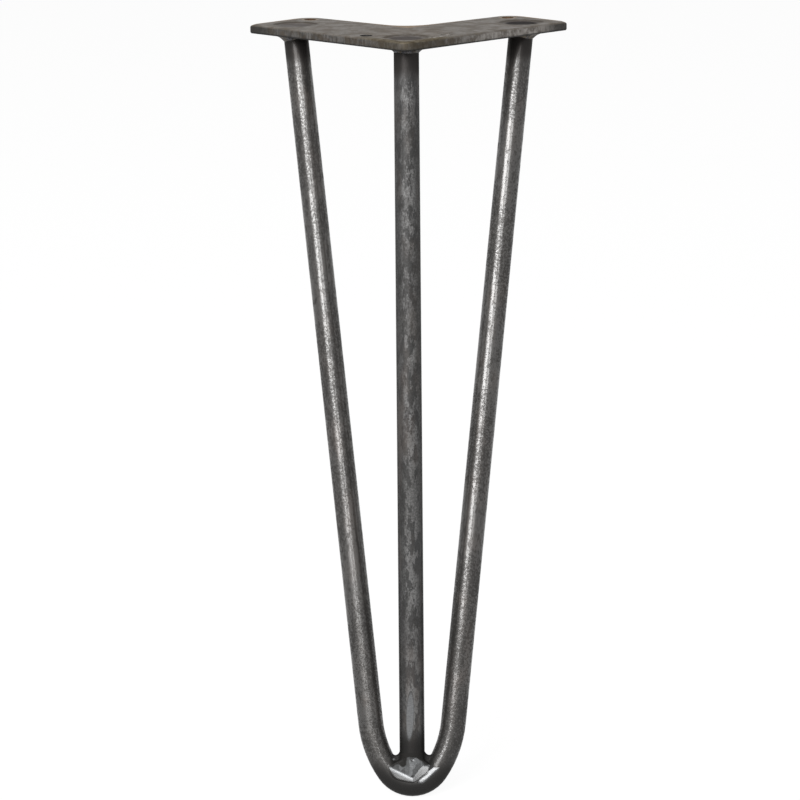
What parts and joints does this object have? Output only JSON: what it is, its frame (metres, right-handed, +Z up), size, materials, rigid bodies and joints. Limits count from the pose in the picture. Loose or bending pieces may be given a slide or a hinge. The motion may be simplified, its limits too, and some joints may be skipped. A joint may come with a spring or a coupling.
{
  "type": "hairpin table leg",
  "caption": "Raked hairpin table leg of raw steel bar: a bent rod with a U-shaped foot and a straight middle rod, welded under a flat L-shaped screw plate.",
  "frame": {"origin": "on the plate's top face, straight above the root of the middle rod", "axes": "+Z up, out of the plate's top face; the plate's corner and the foot point to -Y; X = 0 is the plane of symmetry"},
  "size_m": [0.1548, 0.1514, 0.356],
  "materials": {
    "plate_steel": "hot-rolled mill scale, unpainted, with brown heat tint",
    "rod_steel": "dark mill scale, patchy and semi-gloss, unpainted",
    "weld_metal": "as-welded, dark",
    "ground_weld": "ground bright at the front"
  },
  "bodies": {
    "root": {"mounting_plate": "plate_steel", "hairpin_rod": "rod_steel", "middle_rod": "rod_steel", "left_plate_weld": "weld_metal", "right_plate_weld": "weld_metal", "middle_plate_weld": "weld_metal", "foot_weld": "ground_weld"}
  },
  "joints": []
}
